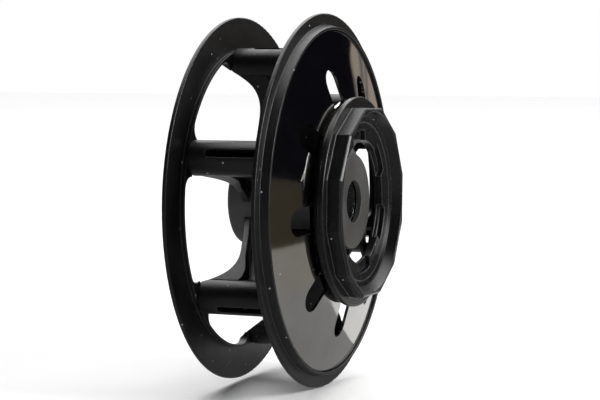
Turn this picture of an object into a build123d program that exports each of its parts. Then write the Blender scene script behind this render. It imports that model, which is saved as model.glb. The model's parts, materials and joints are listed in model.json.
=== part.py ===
from build123d import *
import os
from math import cos, pi, radians, sin, tan

# Line drum of a small sailboat winch or furler.
# The drum turns about the Y axis. The origin is on that axis, halfway along the barrel.
# The face with the polished plate and the locking collar looks toward -Y.
# Angles around the drum are counted from +X toward +Z, in degrees.
# Lengths are in millimetres.

# Barrel and flanges
barrel_half_width = 21.0
flange_thickness = 2.0
front_flange_radius = 90.0
rear_flange_radius = 88.3
flange_inner_radius = 68.0
flange_edge_round = 0.6
lobe_radius = 10.5
lobe_fillet = 6.0
rear_inner_radius = 71.7
rear_rim_radius = 72.9
rear_rim_height = 2.0
rear_lobe_radius = 9.0
lip_base_radius = 84.5
lip_top_radius = 83.4
lip_inner_radius = 82.2
lip_height = 4.1

# Posts and ribs
arm_count = 6
first_arm_angle = 39.5
post_circle_radius = 66.0
post_radius = 8.3
post_rear = 19.0
post_end_round = 0.8
post_bore_radius = 5.0
post_spigot_radius = 6.2
post_slot_width = 3.8
post_slot_end = 10.0
web_thickness = 4.0
band_half_width = 7.6
arm_cut_reach = 30.0
arm_cut_half_width = 15.0

# Side view of an arm, as (radius, y): the hollow back shared by rib, post and rear flange,
# the front of the wide band along it, and the thin web in front of the band
arm_back = [(20.5, 11.5), (30.0, 9.0), (40.0, 6.6), (49.0, 5.6), (56.0, 8.0), (62.0, 14.8), (68.5, 23.0)]
band_front = [(20.5, 8.3), (36.0, 4.6), (48.0, 1.8), (57.0, -0.4), (61.0, 0.4), (64.0, 3.5)]
web_outline = [
    (20.5, 9.5),
    (36.0, 5.5),
    (50.0, 3.5),
    (66.0, 3.0),
    (66.0, -21.0),
    (54.0, -21.0),
    (50.0, -25.0),
    (46.5, -30.0),
    (46.5, -34.0),
    (39.5, -34.0),
    (39.5, -28.0),
    (36.0, -27.0),
    (25.0, -34.0),
    (20.5, -34.0),
]

# Screws that hold the rear flange to the posts
rear_screw_circle = 70.5
rear_screw_radius = 1.25
rear_screw_tip = 12.5
rear_screw_head_radius = 2.2
rear_screw_head_height = 1.8
hex_socket_width = 2.0
insert_radius = 1.9
insert_end = 13.0
insert_hole_end = 12.0

# Hub
hub_radius = 22.0
hub_front = -34.4
hub_rear = 20.5
hub_rear_round = 2.5
hub_middle_bore = 16.0
cap_radius = 22.8
cap_thickness = 2.5
cap_bore = 10.3
cap_chamfer = 0.5

# Ball bearings, size 20 x 37 x 9
shaft_radius = 10.0
bearing_radius = 18.5
bearing_width = 9.0
front_bearing_rear_face = -24.5
rear_bearing_rear_face = 18.0
inner_race_radius = 12.9
outer_race_radius = 15.6
ball_circle_radius = 14.25
ball_radius = 1.75
ball_count = 12
race_clearance = 0.03
cage_inner_radius = 13.7
cage_outer_radius = 14.8
cage_width = 5.0
cage_pocket_radius = 1.85
shield_thickness = 0.3
shield_inset = 0.4
shield_inner_radius = 13.3
sleeve_radius = 12.2
circlip_thickness = 1.2
circlip_groove_radius = 19.4
circlip_inner_radius = 16.9
circlip_gap = 6.0

# Polished face plate
plate_radius = 81.7
plate_inner_radius = 47.2
plate_thickness = 1.5
plate_rim_front = -26.0
plate_slope = 0.25
plate_slot_count = 9
first_plate_slot_angle = 25.4
plate_slot_width = 13.0
plate_slot_inner = 48.5
plate_slot_outer = 65.3
gasket_inner_radius = 78.0

# Collar seat, the ring the locking collar turns on
seat_radius = 47.0
seat_inner_radius = 38.0
seat_rear = -34.0
seat_front = -36.95
spigot_radius = 41.0
spigot_front = -42.1
dish_slope = 0.17
oring_thickness = 1.2
oring_centre = -38.6
oring_groove_width = 1.4
snap_ring_rear = -40.45
snap_ring_thickness = 0.7
snap_ring_inner_radius = 39.6
snap_ring_outer_radius = 42.0
snap_ring_gap = 14.0
seat_screw_circle = 44.0
seat_screw_radius = 1.25
seat_screw_tip = -22.0
seat_screw_head_radius = 2.3
seat_screw_head_height = 1.6
seat_screw_head_front = -36.6

# Locking collar
collar_rear = -37.0
collar_flange_radius = 50.3
collar_flange_thickness = 2.7
collar_front = -46.9
collar_sides = 12
collar_corner_radius = 46.4
collar_corner_angle = 13.6
collar_chamfer = 1.0
running_gap = 0.05
collar_mouth_rear = -42.2
collar_mouth_radius = 43.2
collar_twist = 30.0
peg_count = 3
peg_inner_radius = 43.3
peg_outer_radius = 45.2
peg_length = 1.8
peg_sweep = 8.0
peg_rest_angle = 82.0
peg_side_gap = 0.3
peg_end_gap = 0.25

# Drive ring, the castellated ring inside the collar
drive_ring_rear = -37.0
drive_floor = -38.2
drive_tooth_count = 6
drive_tooth_radius = 29.7
drive_notch_radius = 34.3
drive_notch_width = 16.5
first_drive_tooth_angle = 7.0

os.makedirs("parts", exist_ok=True)


def save(shape, name):
    export_step(shape, "parts/" + name + ".step")


def turned(points):
    """A solid turned about the drum axis from (radius, y) corner points."""
    return revolve(make_face(Polyline(*points, close=True)), Axis.Y, 360)


def ring(inner_radius, outer_radius, rear, front):
    """A plain ring between two places along the axis."""
    corners = [(inner_radius, rear), (outer_radius, rear), (outer_radius, front), (inner_radius, front)]
    return turned(corners)


def spun(shape, angle):
    """The shape turned about the drum axis by an angle counted from +X toward +Z."""
    return Rot(0, -angle, 0) * shape


def rod(radius, rear, front, out=0.0):
    """A round bar parallel to the drum axis, at a distance out along +X."""
    return Pos(out, rear, 0) * extrude(Plane.XZ * Circle(radius), rear - front)


def raised(sketch, rear, thickness):
    """A flat outline seen from the front, thickened from rear toward the front."""
    return Pos(0, rear, 0) * extrude(Plane.XZ * sketch, thickness)


def circle_point(radius, angle):
    return (radius * cos(radians(angle)), radius * sin(radians(angle)))


def arc_block(inner_radius, outer_radius, rear, front, middle_angle, sweep):
    """A block that follows a circle around the drum axis."""
    face_points = [(inner_radius, rear), (outer_radius, rear), (outer_radius, front), (inner_radius, front)]
    block = revolve(make_face(Polyline(*face_points, close=True)), Axis.Y, -sweep)
    return spun(block, middle_angle - sweep / 2)


def arm_angle(index):
    return first_arm_angle + index * 360 / arm_count


def lobed_ring(outer_radius, inner_radius, lobe):
    """The flange outline: a ring with a lobe for every post on its inner edge."""
    outline = Circle(outer_radius) - Circle(inner_radius)
    for index in range(arm_count):
        x, z = circle_point(post_circle_radius, arm_angle(index))
        outline += Pos(x, z) * Circle(lobe) & Circle(outer_radius)
    corners = []
    for vertex in outline.vertices():
        distance = (vertex.X ** 2 + vertex.Y ** 2) ** 0.5
        if abs(distance - inner_radius) < 0.01:
            corners.append(vertex)
    return fillet(corners, lobe_fillet)


def make_arm_cut():
    """Everything behind the hollow back of one arm."""
    back = Spline(*arm_back)
    last_radius, last_y = arm_back[-1]
    root_radius, root_y = arm_back[0]
    outside = Polyline(
        (last_radius, last_y),
        (last_radius, arm_cut_reach),
        (root_radius, arm_cut_reach),
        (root_radius, root_y),
    )
    return extrude(make_face([back, outside]), arm_cut_half_width, both=True)


# Front flange with the lip that surrounds the face plate
front_flange = raised(lobed_ring(front_flange_radius, flange_inner_radius, lobe_radius), -barrel_half_width,
                      flange_thickness)
front_outer_edges = front_flange.edges().filter_by(GeomType.CIRCLE).group_by(SortBy.RADIUS)[-1]
front_flange = fillet(front_outer_edges, flange_edge_round)
flange_face = -barrel_half_width - flange_thickness
lip = turned([
    (lip_inner_radius, flange_face),
    (lip_base_radius, flange_face),
    (lip_top_radius, flange_face - lip_height),
    (lip_inner_radius, flange_face - lip_height),
])
front_flange = front_flange + lip
for index in range(arm_count):
    hole = rod(post_spigot_radius, -barrel_half_width, flange_face, post_circle_radius)
    front_flange = front_flange - spun(hole, arm_angle(index))
save(front_flange, "front_flange")

# Rear flange: a disc with a low rim round its hole and a thick lobe under every post
arm_cut = make_arm_cut()
rear_face = barrel_half_width + flange_thickness
rear_flange = raised(lobed_ring(rear_flange_radius, rear_inner_radius, rear_lobe_radius), rear_face,
                     flange_thickness)
rear_outer_edges = rear_flange.edges().filter_by(GeomType.CIRCLE).group_by(SortBy.RADIUS)[-1]
rear_flange = fillet(rear_outer_edges, flange_edge_round)
rear_rim = raised(lobed_ring(rear_rim_radius, rear_inner_radius, rear_lobe_radius), rear_face,
                  flange_thickness + rear_rim_height)
rear_flange = rear_flange + rear_rim
for index in range(arm_count):
    hole = rod(rear_screw_radius, rear_face, post_rear, rear_screw_circle)
    rear_flange = rear_flange - spun(hole + arm_cut, arm_angle(index))
save(rear_flange, "rear_flange")


# Tubular posts, slotted along their outer side and cut away by the hollow back of the arm
def make_post():
    post = rod(post_radius, post_rear, -barrel_half_width, post_circle_radius)
    post = fillet(post.edges().filter_by(GeomType.CIRCLE).sort_by(Axis.Y)[-1], post_end_round)
    post = post + rod(post_spigot_radius, -barrel_half_width, flange_face, post_circle_radius)
    post = post - rod(post_bore_radius, post_slot_end, flange_face, post_circle_radius)
    post = post - rod(insert_radius, post_rear, insert_hole_end, rear_screw_circle)
    slot_length = post_slot_end + barrel_half_width
    slot_reach = post_circle_radius + post_radius
    slot = Box(post_radius, slot_length - post_slot_width / 2, post_slot_width)
    slot = Pos(slot_reach, (post_slot_end - post_slot_width / 2 - barrel_half_width) / 2, 0) * slot
    slot_end = Rot(0, 90, 0) * Cylinder(post_slot_width / 2, post_radius)
    slot_end = Pos(slot_reach, post_slot_end - post_slot_width / 2, 0) * slot_end
    return post - slot - slot_end - arm_cut


# Ribs from the hub to the posts: a thin web with a wide band along the hollow back of the arm.
# Each also carries the collar seat on its front edge.
def make_rib():
    root_radius, root_front = band_front[0]
    tip_radius, tip_front = band_front[-1]
    rest = Polyline(
        (tip_radius, tip_front),
        (post_circle_radius, tip_front),
        (post_circle_radius, arm_cut_reach),
        (root_radius, arm_cut_reach),
        (root_radius, root_front),
    )
    band = extrude(make_face([Spline(*band_front), rest]), band_half_width, both=True) - arm_cut
    web = extrude(make_face(Polyline(*web_outline, close=True)), web_thickness / 2, both=True)
    rib = band + web - rod(post_radius, barrel_half_width, -barrel_half_width, post_circle_radius)
    return rib - rod(seat_screw_radius, seat_rear, seat_screw_tip, seat_screw_circle)


hub = rod(hub_radius, hub_rear, hub_front)
hub = fillet(hub.edges().filter_by(GeomType.CIRCLE).sort_by(Axis.Y)[-1], hub_rear_round)
front_seat_end = front_bearing_rear_face
rear_seat_start = rear_bearing_rear_face - bearing_width
hub = hub - rod(bearing_radius, front_seat_end, hub_front)
hub = hub - rod(hub_middle_bore, rear_seat_start, front_seat_end)
hub = hub - rod(bearing_radius, hub_rear, rear_seat_start)
hub = hub - ring(bearing_radius, circlip_groove_radius, rear_bearing_rear_face + circlip_thickness,
                 rear_bearing_rear_face)
for index in range(arm_count):
    post = spun(make_post(), arm_angle(index))
    rib = spun(make_rib(), arm_angle(index))
    hub = hub - rib
    save(post, "post_" + str(index + 1))
    save(rib, "rib_" + str(index + 1))
save(hub, "hub")

# Brass inserts in the posts and the screws that go into them
inserts = []
rear_screws = []
for index in range(arm_count):
    insert = rod(insert_radius, post_rear, insert_end, rear_screw_circle)
    insert = insert - rod(rear_screw_radius, post_rear, insert_end, rear_screw_circle)
    inserts.append(spun(insert, arm_angle(index)))
    head = rod(rear_screw_head_radius, rear_face + rear_screw_head_height, rear_face, rear_screw_circle)
    head = chamfer(head.edges().sort_by(Axis.Y)[-1], rear_screw_head_height / 6)
    socket = raised(RegularPolygon(hex_socket_width / 2, 6, major_radius=False),
                    rear_face + rear_screw_head_height, rear_screw_head_height * 0.7)
    shank = rod(rear_screw_radius, rear_face, rear_screw_tip, rear_screw_circle)
    screw = head + shank - Pos(rear_screw_circle, 0, 0) * socket
    rear_screws.append(spun(screw, arm_angle(index)))
save(Compound(children=inserts), "post_inserts")
save(Compound(children=rear_screws), "rear_screws")

# Hub cap: the flat disc around the shaft hole
cap = rod(cap_radius, hub_front, hub_front - cap_thickness)
cap = chamfer(cap.edges().filter_by(GeomType.CIRCLE).sort_by(Axis.Y)[0], cap_chamfer)
cap = cap - rod(cap_bore, hub_front, hub_front - cap_thickness)
save(cap, "hub_cap")


# Ball bearings
def save_bearing(name, rear):
    front = rear - bearing_width
    middle = rear - bearing_width / 2
    track = Pos(0, middle, 0) * Rot(90, 0, 0) * Torus(ball_circle_radius, ball_radius + race_clearance)
    save(ring(shaft_radius, inner_race_radius, rear, front) - track, name + "_inner_race")
    save(ring(outer_race_radius, bearing_radius, rear, front) - track, name + "_outer_race")
    cage = ring(cage_inner_radius, cage_outer_radius, middle + cage_width / 2, middle - cage_width / 2)
    balls = []
    for index in range(ball_count):
        angle = index * 360 / ball_count
        balls.append(spun(Pos(ball_circle_radius, middle, 0) * Sphere(ball_radius), angle))
        pocket = Rot(0, 90, 0) * Cylinder(cage_pocket_radius, cage_outer_radius)
        cage = cage - spun(Pos(ball_circle_radius, middle, 0) * pocket, angle)
    save(cage, name + "_cage")
    save(Compound(children=balls), name + "_balls")
    rear_shield_face = rear - shield_inset
    front_shield_face = front + shield_inset
    shields = [
        ring(shield_inner_radius, outer_race_radius, rear_shield_face, rear_shield_face - shield_thickness),
        ring(shield_inner_radius, outer_race_radius, front_shield_face + shield_thickness, front_shield_face),
    ]
    save(Compound(children=shields), name + "_shields")


save_bearing("front_bearing", front_bearing_rear_face)
save_bearing("rear_bearing", rear_bearing_rear_face)

# Spacer sleeve between the inner races
save(ring(shaft_radius, sleeve_radius, rear_seat_start, front_seat_end), "spacer_sleeve")

# Spring washer between the front bearing and the hub cap
bearing_face = front_bearing_rear_face - bearing_width
spring_washer = turned([
    (16.5, bearing_face),
    (16.9, bearing_face),
    (18.4, hub_front + 0.3),
    (18.4, hub_front),
    (18.0, hub_front),
    (16.5, bearing_face - 0.3),
])
save(spring_washer, "spring_washer")

# Circlip behind the rear bearing, open at the bottom
circlip = ring(circlip_inner_radius, circlip_groove_radius, rear_bearing_rear_face + circlip_thickness,
               rear_bearing_rear_face)
gap_block = Box(circlip_gap, circlip_thickness * 3, circlip_groove_radius)
circlip = circlip - Pos(0, rear_bearing_rear_face, -circlip_groove_radius) * gap_block
save(circlip, "circlip")


# Face plate: a shallow polished cone with radial slots
def plate_front(radius):
    return plate_rim_front - plate_slope * (plate_radius - radius)


face_plate = turned([
    (plate_radius, plate_front(plate_radius)),
    (plate_inner_radius, plate_front(plate_inner_radius)),
    (plate_inner_radius, plate_front(plate_inner_radius) + plate_thickness),
    (plate_radius, plate_front(plate_radius) + plate_thickness),
])
slot_round = plate_slot_outer - plate_slot_width / 2
slot_outline = Pos(slot_round, 0) * Circle(plate_slot_width / 2)
slot_middle = (slot_round + plate_slot_inner) / 2
slot_outline += Pos(slot_middle, 0) * Rectangle(slot_round - plate_slot_inner, plate_slot_width)
plate_slot = raised(slot_outline, plate_rim_front + plate_thickness * 2, barrel_half_width)
for index in range(plate_slot_count):
    angle = first_plate_slot_angle + index * 360 / plate_slot_count
    face_plate = face_plate - spun(plate_slot, angle)
save(face_plate, "face_plate")

# Rubber gasket under the rim of the face plate
gasket = turned([
    (gasket_inner_radius, flange_face),
    (plate_radius, flange_face),
    (plate_radius, plate_front(plate_radius) + plate_thickness),
    (gasket_inner_radius, plate_front(gasket_inner_radius) + plate_thickness),
])
save(gasket, "plate_gasket")

# Collar seat with its spigot, grooves, stop slots and screw holes. Its front is slightly dished.
def dish_front(radius):
    return spigot_front + dish_slope * (spigot_radius - radius)


seat = ring(seat_inner_radius, seat_radius, seat_rear, seat_front)
seat = seat + turned([
    (seat_inner_radius, seat_front),
    (spigot_radius, seat_front),
    (spigot_radius, spigot_front),
    (seat_inner_radius, dish_front(seat_inner_radius)),
])
groove_floor = spigot_radius - oring_thickness
seat = seat - ring(groove_floor, spigot_radius, oring_centre + oring_groove_width / 2,
                   oring_centre - oring_groove_width / 2)
snap_ring_front = snap_ring_rear - snap_ring_thickness
seat = seat - ring(snap_ring_inner_radius, spigot_radius, snap_ring_rear, snap_ring_front)
slot_sweep = collar_twist + peg_sweep + 2 * peg_end_gap
slot_middle_angle = peg_rest_angle - collar_twist / 2
for index in range(peg_count):
    stop_slot = arc_block(peg_inner_radius - peg_side_gap, peg_outer_radius + peg_side_gap,
                          collar_rear + peg_length + peg_side_gap, seat_front,
                          slot_middle_angle + index * 360 / peg_count, slot_sweep)
    seat = seat - stop_slot
seat_screws = []
for index in range(arm_count):
    head_rear = seat_screw_head_front + seat_screw_head_height
    shank = rod(seat_screw_radius, seat_screw_tip, head_rear, seat_screw_circle)
    head = rod(seat_screw_head_radius, head_rear, seat_screw_head_front, seat_screw_circle)
    pocket = rod(seat_screw_head_radius, head_rear, seat_front, seat_screw_circle)
    seat = seat - spun(shank + pocket, arm_angle(index))
    seat_screws.append(spun(shank + head, arm_angle(index)))
save(seat, "collar_seat")
save(Compound(children=seat_screws), "seat_screws")

# Rubber ring that gives the collar its drag
oring_radius = spigot_radius - oring_thickness / 2
oring = Pos(0, oring_centre, 0) * Rot(90, 0, 0) * Torus(oring_radius, oring_thickness / 2)
save(oring, "collar_oring")

# Snap ring that keeps the collar on its seat
snap_ring = ring(snap_ring_inner_radius, snap_ring_outer_radius, snap_ring_rear, snap_ring_front)
snap_gap = arc_block(snap_ring_inner_radius - 1, snap_ring_outer_radius + 1, snap_ring_rear + 1,
                     snap_ring_front - 1, -90, snap_ring_gap)
save(snap_ring - snap_gap, "collar_snap_ring")

# Locking collar: round flange, twelve-sided body, flared mouth and stop pegs
collar = rod(collar_flange_radius, collar_rear, collar_rear - collar_flange_thickness)
collar_flats = RegularPolygon(collar_corner_radius, collar_sides, rotation=collar_corner_angle)
body_rear = collar_rear - collar_flange_thickness
collar_body = raised(collar_flats, body_rear, body_rear - collar_front)
collar_body = chamfer(collar_body.faces().sort_by(Axis.Y)[0].edges(), collar_chamfer)
collar = fillet(collar.edges().filter_by(GeomType.CIRCLE), flange_edge_round)
collar = collar + collar_body
collar_bore = spigot_radius + running_gap
collar = collar - rod(collar_bore, collar_rear, collar_mouth_rear)
collar = collar - turned([
    (0, collar_mouth_rear),
    (collar_bore, collar_mouth_rear),
    (collar_mouth_radius, collar_front),
    (0, collar_front),
])
collar = collar - ring(collar_bore, snap_ring_outer_radius + peg_side_gap, snap_ring_rear + 2 * running_gap,
                       snap_ring_front - 2 * running_gap)
for index in range(peg_count):
    peg = arc_block(peg_inner_radius, peg_outer_radius, collar_rear + peg_length, collar_rear,
                    peg_rest_angle + index * 360 / peg_count, peg_sweep)
    collar = collar + peg
save(collar, "lock_collar")

# Castellated drive ring inside the collar, with straight-sided notches that do not go right through
tooth_front = dish_front(drive_notch_radius)
drive_ring = turned([
    (drive_tooth_radius, drive_ring_rear),
    (seat_inner_radius, drive_ring_rear),
    (seat_inner_radius, dish_front(seat_inner_radius)),
    (drive_notch_radius, tooth_front),
    (drive_tooth_radius, tooth_front),
])
notch_outline = Pos(drive_notch_radius / 2, 0) * Rectangle(drive_notch_radius, drive_notch_width)
notch_outline = notch_outline & Circle(drive_notch_radius)
notch = raised(notch_outline, drive_floor, drive_floor - tooth_front)
for index in range(drive_tooth_count):
    notch_angle = first_drive_tooth_angle + (index + 0.5) * 360 / drive_tooth_count
    drive_ring = drive_ring - spun(notch, notch_angle)
save(drive_ring, "drive_ring")
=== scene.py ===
import json
import math

import bpy
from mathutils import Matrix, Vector

# Looks of the line drum. Everything is in metres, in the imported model's frame:
# the drum turns about the Y axis and its collar side faces -Y.

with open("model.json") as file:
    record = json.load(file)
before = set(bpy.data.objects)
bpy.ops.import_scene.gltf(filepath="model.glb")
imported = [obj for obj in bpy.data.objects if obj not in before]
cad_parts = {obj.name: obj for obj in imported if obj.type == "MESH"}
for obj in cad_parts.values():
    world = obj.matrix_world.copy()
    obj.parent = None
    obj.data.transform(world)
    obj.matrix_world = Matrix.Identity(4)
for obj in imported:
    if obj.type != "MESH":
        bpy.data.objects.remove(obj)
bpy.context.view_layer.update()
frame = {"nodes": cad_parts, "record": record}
nodes = frame["nodes"]

# Camera
camera_place = Vector((-0.8317, -0.3350, 0.0704))
camera_heading = 21.4
camera_tilt = -4.51
camera_lens = 110.8
sensor_width = 36.0
sight_limit = 50.0

# Stage
floor_level = -0.0902
floor_reach = 6.0
sheet_step = 0.001
dome_radius = 9.0
dome_dip = 0.2
dome_rings = 12
dome_spokes = 24
tan_sheet_width = 0.70

# Rounding that the shaders give to sharp corners
moulded_round = 0.0006
collar_round = 0.0010
metal_round = 0.00015

# How strongly edges show: on dark plastic as a painted edge highlight, on metal as worn brighter edges; and
# the light that the painted edge highlight adds to dark plastic
plastic_painted_highlight_gain = 8.0
metal_edge_gain = 3.0
painted_highlight_lift = 0.07

# Depth of the fine relief
grain_height = 0.0002
tool_mark_height = 0.0001
turning_line_height = 0.0001
ripple_height = 0.002

# Dust, as cells per metre, and the size of a speck as a part of its cell
plastic_dust_scale = 300.0
steel_dust_scale = 240.0
steel_dust_share = 0.06
speck_core = 0.10
speck_edge = 0.16
dust_colour = (0.35, 0.35, 0.36)
plastic_specular = 0.42

# Radiance of the surroundings
white = (1.0, 1.0, 1.0)
black = (0.0, 0.0, 0.0)
tan = (0.32, 0.27, 0.225)
slate = (0.07, 0.08, 0.09)
ground_glow = (0.24, 0.24, 0.24)
lit_ground_glow = (0.75, 0.75, 0.75)
near_ground_glow = (0.25, 0.24, 0.225)
far_ground_glow = (0.043, 0.037, 0.026)
room_glow = (0.004, 0.004, 0.006)

# Lamps
fill_place = (0.1, -1.9, 0.8)
fill_width = 0.9
fill_power = 46.0
overhead_strength = 3.6
overhead_spread = 76.0
overhead_direction = (-0.45, -0.12, -0.88)


def new_material(name):
    """A fresh material with its node tree and its surface shader."""
    material = bpy.data.materials.new(name)
    material.use_nodes = True
    tree = material.node_tree
    return material, tree, tree.nodes["Principled BSDF"]


def add(tree, kind, inputs=None, **settings):
    """A shader node with its settings and socket values or links."""
    node = tree.nodes.new(kind)
    for name, value in settings.items():
        setattr(node, name, value)
    for name, value in (inputs or {}).items():
        if isinstance(value, bpy.types.NodeSocket):
            tree.links.new(value, node.inputs[name])
        else:
            node.inputs[name].default_value = value
    return node


def ramp(tree, factor, stops):
    """A colour ramp from (position, grey or colour) stops."""
    node = add(tree, "ShaderNodeValToRGB", {"Fac": factor})
    elements = node.color_ramp.elements
    while len(elements) < len(stops):
        elements.new(0.5)
    for element, (position, colour) in zip(elements, stops):
        element.position = position
        if isinstance(colour, (int, float)):
            colour = (colour, colour, colour)
        element.color = (*colour, 1.0)
    return node.outputs["Color"]


def mix_colour(tree, factor, first, second, blend="MIX"):
    """Two colours or greys blended by factor, each given as a value or as a socket."""
    node = add(tree, "ShaderNodeMix", data_type="RGBA", blend_type=blend)
    for socket, value in ((node.inputs[0], factor), (node.inputs[6], first), (node.inputs[7], second)):
        if isinstance(value, bpy.types.NodeSocket):
            tree.links.new(value, socket)
        elif isinstance(value, (int, float)):
            socket.default_value = value
        else:
            socket.default_value = (*value, 1.0)
    return node.outputs[2]


def noise(tree, place, scale, detail=4.0, roughness=0.55):
    """Cloudy grey noise with the given number of features per metre."""
    inputs = {"Vector": place, "Scale": scale, "Detail": detail, "Roughness": roughness}
    return add(tree, "ShaderNodeTexNoise", inputs).outputs["Fac"]


def rounded_corners(tree, radius, gain):
    """The normal with rounded corners, and a mask that is 1 along edges and 0 on flat ground."""
    rounded = add(tree, "ShaderNodeBevel", {"Radius": radius}, samples=8)
    true = add(tree, "ShaderNodeNewGeometry")
    dot = add(tree, "ShaderNodeVectorMath", {0: rounded.outputs["Normal"], 1: true.outputs["Normal"]},
              operation="DOT_PRODUCT")
    lost = add(tree, "ShaderNodeMath", {0: 1.0, 1: dot.outputs["Value"]}, operation="SUBTRACT")
    mask = add(tree, "ShaderNodeMath", {0: lost.outputs[0], 1: gain}, operation="MULTIPLY", use_clamp=True)
    return rounded.outputs["Normal"], mask.outputs[0]


def dust_specks(tree, place, scale, share):
    """A mask of small round specks; share is the part of the cells that hold one."""
    cells = add(tree, "ShaderNodeTexVoronoi", {"Vector": place, "Scale": scale, "Randomness": 1.0})
    near = ramp(tree, cells.outputs["Distance"], [(speck_core, 1.0), (speck_edge, 0.0)])
    lot = add(tree, "ShaderNodeSeparateColor", {"Color": cells.outputs["Color"]}).outputs["Red"]
    chosen = ramp(tree, lot, [(1.0 - share, 0.0), (1.0 - share * 0.6, 1.0)])
    return mix_colour(tree, 1.0, near, chosen, "MULTIPLY")


def moulded_plastic(name, colour, roughness, grain_scale, grain_depth, dust, rounding=moulded_round):
    """Black moulded plastic: fine grain, faint cloudy colour, a painted highlight along the edges broken up
    by noise, and a little dust.
    """
    material, tree, shader = new_material(name)
    place = add(tree, "ShaderNodeTexCoord").outputs["Object"]
    clouds = noise(tree, place, 35.0)
    deep = tuple(channel * 0.72 for channel in colour)
    pale = tuple(channel * 1.35 for channel in colour)
    base = ramp(tree, clouds, [(0.3, deep), (0.7, pale)])
    # Painted highlight: the base colour is made lighter along the edges, where the rounding would catch
    # light, and noise breaks it up
    highlight_breakup = noise(tree, place, 260.0, 6.0, 0.7)
    corners, edges = rounded_corners(tree, rounding, plastic_painted_highlight_gain)
    painted_edge_highlight = add(tree, "ShaderNodeMath", {0: edges, 1: highlight_breakup}, operation="MULTIPLY").outputs[0]
    edge_highlight_colour = tuple(channel * 2.0 + painted_highlight_lift for channel in colour)
    base = mix_colour(tree, painted_edge_highlight, base, edge_highlight_colour)
    base = mix_colour(tree, dust_specks(tree, place, plastic_dust_scale, dust), base, dust_colour)
    tree.links.new(base, shader.inputs["Base Color"])
    smudges = noise(tree, place, 55.0, 5.0, 0.6)
    low = max(roughness - 0.07, 0.0)
    tree.links.new(ramp(tree, smudges, [(0.3, low), (0.72, roughness + 0.09)]), shader.inputs["Roughness"])
    grain = noise(tree, place, grain_scale, 3.0, 0.6)
    bump = add(tree, "ShaderNodeBump", {"Height": grain, "Strength": grain_depth, "Distance": grain_height,
                                        "Normal": corners})
    tree.links.new(bump.outputs["Normal"], shader.inputs["Normal"])
    shader.inputs["Specular IOR Level"].default_value = plastic_specular
    return material


def polished_steel(name):
    """Mirror-polished sheet: fine turning lines round the axis, faint stains and a few dust specks."""
    material, tree, shader = new_material(name)
    place = add(tree, "ShaderNodeTexCoord").outputs["Object"]
    stains = noise(tree, place, 28.0, 5.0, 0.6)
    base = ramp(tree, stains, [(0.35, (0.60, 0.585, 0.555)), (0.7, (0.70, 0.69, 0.665))])
    rough = ramp(tree, stains, [(0.3, 0.045), (0.75, 0.10)])
    specks = dust_specks(tree, place, steel_dust_scale, steel_dust_share)
    rough = mix_colour(tree, specks, rough, (0.5, 0.5, 0.5))
    tree.links.new(base, shader.inputs["Base Color"])
    tree.links.new(rough, shader.inputs["Roughness"])
    shader.inputs["Metallic"].default_value = 1.0
    apart = add(tree, "ShaderNodeSeparateXYZ", {"Vector": place})
    across = add(tree, "ShaderNodeCombineXYZ", {"X": apart.outputs["X"], "Y": apart.outputs["Z"]})
    radius = add(tree, "ShaderNodeVectorMath", {0: across.outputs[0]}, operation="LENGTH")
    track = add(tree, "ShaderNodeCombineXYZ", {"X": radius.outputs["Value"]})
    lines = noise(tree, track.outputs[0], 1500.0, 2.0, 0.5)
    ripples = noise(tree, place, 22.0, 2.0, 0.5)
    fine = add(tree, "ShaderNodeBump", {"Height": lines, "Strength": 0.05, "Distance": turning_line_height})
    wavy = add(tree, "ShaderNodeBump", {"Height": ripples, "Strength": 0.06, "Distance": ripple_height,
                                        "Normal": fine.outputs["Normal"]})
    tree.links.new(wavy.outputs["Normal"], shader.inputs["Normal"])
    return material


def machined_metal(name, colour, roughness):
    """Turned or pressed metal with tool marks, handling stains and brighter edges."""
    material, tree, shader = new_material(name)
    place = add(tree, "ShaderNodeTexCoord").outputs["Object"]
    stains = noise(tree, place, 120.0, 5.0, 0.6)
    deep = tuple(channel * 0.8 for channel in colour)
    base = ramp(tree, stains, [(0.3, deep), (0.7, colour)])
    corners, edges = rounded_corners(tree, metal_round, metal_edge_gain)
    bright = tuple(min(channel * 1.3, 0.95) for channel in colour)
    tree.links.new(mix_colour(tree, edges, base, bright), shader.inputs["Base Color"])
    marks = noise(tree, place, 900.0, 3.0, 0.6)
    low = max(roughness - 0.08, 0.02)
    tree.links.new(ramp(tree, marks, [(0.3, low), (0.7, roughness + 0.08)]), shader.inputs["Roughness"])
    shader.inputs["Metallic"].default_value = 1.0
    bump = add(tree, "ShaderNodeBump", {"Height": marks, "Strength": 0.12, "Distance": tool_mark_height,
                                        "Normal": corners})
    tree.links.new(bump.outputs["Normal"], shader.inputs["Normal"])
    return material


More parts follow.
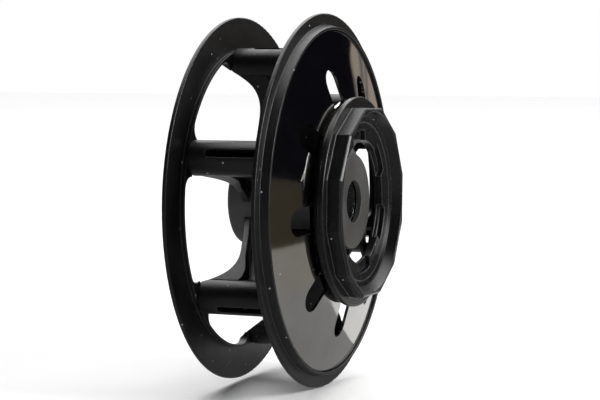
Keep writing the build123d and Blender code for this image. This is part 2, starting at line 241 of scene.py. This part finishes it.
materials = {
    "moulded_black": moulded_plastic("moulded_black", (0.0065, 0.0065, 0.0068), 0.33, 1600.0, 0.60, 0.16),
    "collar_black": moulded_plastic("collar_black", (0.0065, 0.0065, 0.007), 0.22, 2200.0, 0.30, 0.04,
                                    rounding=collar_round),
    # hub_black is the same black plastic with a lighter base colour painted in, standing in for the light
    # the hub cap catches from the front
    "hub_black": moulded_plastic("hub_black", (0.048, 0.047, 0.0455), 0.42, 2600.0, 0.20, 0.02),
    "seal_rubber": moulded_plastic("seal_rubber", (0.006, 0.006, 0.006), 0.6, 1800.0, 0.30, 0.02),
    "cage_plastic": moulded_plastic("cage_plastic", (0.34, 0.31, 0.23), 0.45, 2000.0, 0.15, 0.01),
    "polished_plate": polished_steel("polished_plate"),
    "bearing_steel": machined_metal("bearing_steel", (0.55, 0.55, 0.56), 0.22),
    "ball_steel": machined_metal("ball_steel", (0.75, 0.75, 0.76), 0.08),
    "shield_steel": machined_metal("shield_steel", (0.45, 0.45, 0.46), 0.32),
    "spring_steel": machined_metal("spring_steel", (0.30, 0.30, 0.31), 0.38),
    "screw_steel": machined_metal("screw_steel", (0.60, 0.60, 0.61), 0.28),
    "insert_brass": machined_metal("insert_brass", (0.72, 0.53, 0.24), 0.30),
}


def dress(piece, material):
    """Give a piece one material in place of what it had."""
    piece.data.materials.clear()
    piece.data.materials.append(material)


slot_of = {row["node"]: row["material_slot"] for row in frame["record"]["subparts"]}
for name, piece in nodes.items():
    dress(piece, materials[slot_of[name]])

# Camera
camera = bpy.data.objects.new("camera", bpy.data.cameras.new("camera"))
bpy.context.collection.objects.link(camera)
camera.location = camera_place
heading = math.radians(camera_heading)
tilt = math.radians(camera_tilt)
looking = Vector((math.cos(heading) * math.cos(tilt), math.sin(heading) * math.cos(tilt), math.sin(tilt)))
camera.rotation_euler = looking.to_track_quat("-Z", "Y").to_euler()
camera.data.lens = camera_lens
camera.data.sensor_width = sensor_width
camera.data.clip_end = sight_limit
bpy.context.scene.camera = camera


def plain(name, colour, roughness):
    """Plain stage paint with a trace of unevenness."""
    material, tree, shader = new_material(name)
    place = add(tree, "ShaderNodeTexCoord").outputs["Object"]
    shade = noise(tree, place, 3.0)
    deep = tuple(channel * 0.98 for channel in colour)
    tree.links.new(ramp(tree, shade, [(0.3, deep), (0.7, colour)]), shader.inputs["Base Color"])
    shader.inputs["Roughness"].default_value = roughness
    return material


def stage_mesh(name, points, faces, material):
    """A piece of the set, which isn't part of the object."""
    mesh = bpy.data.meshes.new(name)
    mesh.from_pydata(points, [], faces)
    piece = bpy.data.objects.new(name, mesh)
    bpy.context.collection.objects.link(piece)
    piece.data.materials.append(material)
    return piece


def hide_from(piece, *rays):
    """Make a piece of the set invisible to the named kinds of rays."""
    for kind in rays:
        setattr(piece, "visible_" + kind, False)


# Floor, pale and plain. Reflections see the floor sheets in its place.
floor_outline = [(-floor_reach, -floor_reach), (floor_reach, -floor_reach),
                 (floor_reach, floor_reach), (-floor_reach, floor_reach)]
floor = stage_mesh("floor", [(x, y, floor_level) for x, y in floor_outline], [(0, 1, 2, 3)],
                   plain("floor", (0.93, 0.93, 0.93), 0.9))
hide_from(floor, "glossy")


def glowing(name, colour):
    """An evenly lit sheet of the given radiance."""
    material, tree, shader = new_material(name)
    shader.inputs["Base Color"].default_value = (*black, 1.0)
    shader.inputs["Specular IOR Level"].default_value = 0.0
    shader.inputs["Emission Color"].default_value = (*colour, 1.0)
    shader.inputs["Emission Strength"].default_value = 1.0
    return material


def card(name, centre, width, height, material):
    """A flat lit card that faces the object, lights it and is mirrored in it, unseen by the camera."""
    half_w, half_h = width / 2, height / 2
    points = [(-half_w, -half_h, 0), (half_w, -half_h, 0), (half_w, half_h, 0), (-half_w, half_h, 0)]
    piece = stage_mesh(name, points, [(0, 1, 2, 3)], material)
    piece.location = centre
    piece.rotation_euler = (-Vector(centre)).to_track_quat("Z", "Y").to_euler()
    hide_from(piece, "camera", "shadow")


def streaked(name, width, stops):
    """A lit sheet of the given width whose radiance changes along its own X."""
    material = glowing(name, black)
    tree = material.node_tree
    place = add(tree, "ShaderNodeTexCoord").outputs["Object"]
    apart = add(tree, "ShaderNodeSeparateXYZ", {"Vector": place})
    along = add(tree, "ShaderNodeMapRange", {"Value": apart.outputs["X"], "From Min": -width / 2,
                                             "From Max": width / 2})
    tree.links.new(ramp(tree, along.outputs["Result"], stops),
                   tree.nodes["Principled BSDF"].inputs["Emission Color"])
    return material


def floor_sheet(name, layer, outline, radiance):
    """A patch of ground that only reflections see. A patch of a higher layer covers a lower one."""
    points = [(x, y, floor_level + layer * sheet_step) for x, y in outline]
    piece = stage_mesh(name, points, [tuple(range(len(points)))], glowing(name, radiance))
    hide_from(piece, "camera", "diffuse", "shadow")


# What the polished plate and the glossy plastic mirror
card("glow_behind", (2.4, 1.05, 0.85), 2.0, 1.3, glowing("glow_behind", white))
card("tan_sheet", (2.2, -0.14, 0.14), tan_sheet_width, 0.42, streaked("tan_streaks", tan_sheet_width, [
    (0.0, tan), (0.42, tan), (0.47, slate), (0.54, tan),
    (0.62, slate), (0.70, tan), (0.90, tan), (1.0, slate),
]))
floor_sheet("ground", 0, floor_outline, ground_glow)
floor_sheet("lit_ground", 1, [(0.10, -0.14), (0.9, -0.05), (0.9, 0.8), (0.0, 0.8)], lit_ground_glow)
floor_sheet("near_ground", 2, [(0.075, -0.16), (0.10, -0.40), (0.24, -0.40), (0.42, -0.11)],
            near_ground_glow)
floor_sheet("far_ground", 3, [(0.20, -0.36), (1.2, -5.6), (5.8, -5.6), (5.8, 0.4), (0.42, -0.12)],
            far_ground_glow)


def lamp(name, kind, aim):
    """A lamp of the given kind that shines along aim."""
    data = bpy.data.lights.new(name, kind)
    piece = bpy.data.objects.new(name, data)
    bpy.context.collection.objects.link(piece)
    piece.rotation_euler = Vector(aim).to_track_quat("-Z", "Y").to_euler()
    return piece


front_fill = lamp("front_fill", "AREA", -Vector(fill_place))
front_fill.location = fill_place
front_fill.data.size = fill_width
front_fill.data.energy = fill_power

overhead = lamp("overhead", "SUN", overhead_direction)
overhead.data.energy = overhead_strength
overhead.data.angle = math.radians(overhead_spread)

# A white surround that only the camera sees, and a dim room for everything else
dome_points = []
for ring in range(dome_rings + 1):
    up = math.pi / 2 * ring / dome_rings - dome_dip
    for spoke in range(dome_spokes):
        around = math.tau * spoke / dome_spokes
        dome_points.append((dome_radius * math.cos(up) * math.cos(around),
                            dome_radius * math.cos(up) * math.sin(around), dome_radius * math.sin(up)))
dome_faces = []
for ring in range(dome_rings):
    lower = ring * dome_spokes
    upper = lower + dome_spokes
    for spoke in range(dome_spokes):
        after = (spoke + 1) % dome_spokes
        dome_faces.append((lower + spoke, lower + after, upper + after, upper + spoke))
surround = stage_mesh("surround", dome_points, dome_faces, glowing("surround", white))
hide_from(surround, "diffuse", "glossy", "transmission", "volume_scatter", "shadow")

world = bpy.data.worlds.new("world")
world.use_nodes = True
world.node_tree.nodes["Background"].inputs["Color"].default_value = (*room_glow, 1.0)
world.node_tree.nodes["Background"].inputs["Strength"].default_value = 1.0
bpy.context.scene.world = world
bpy.context.scene.view_settings.view_transform = "Standard"
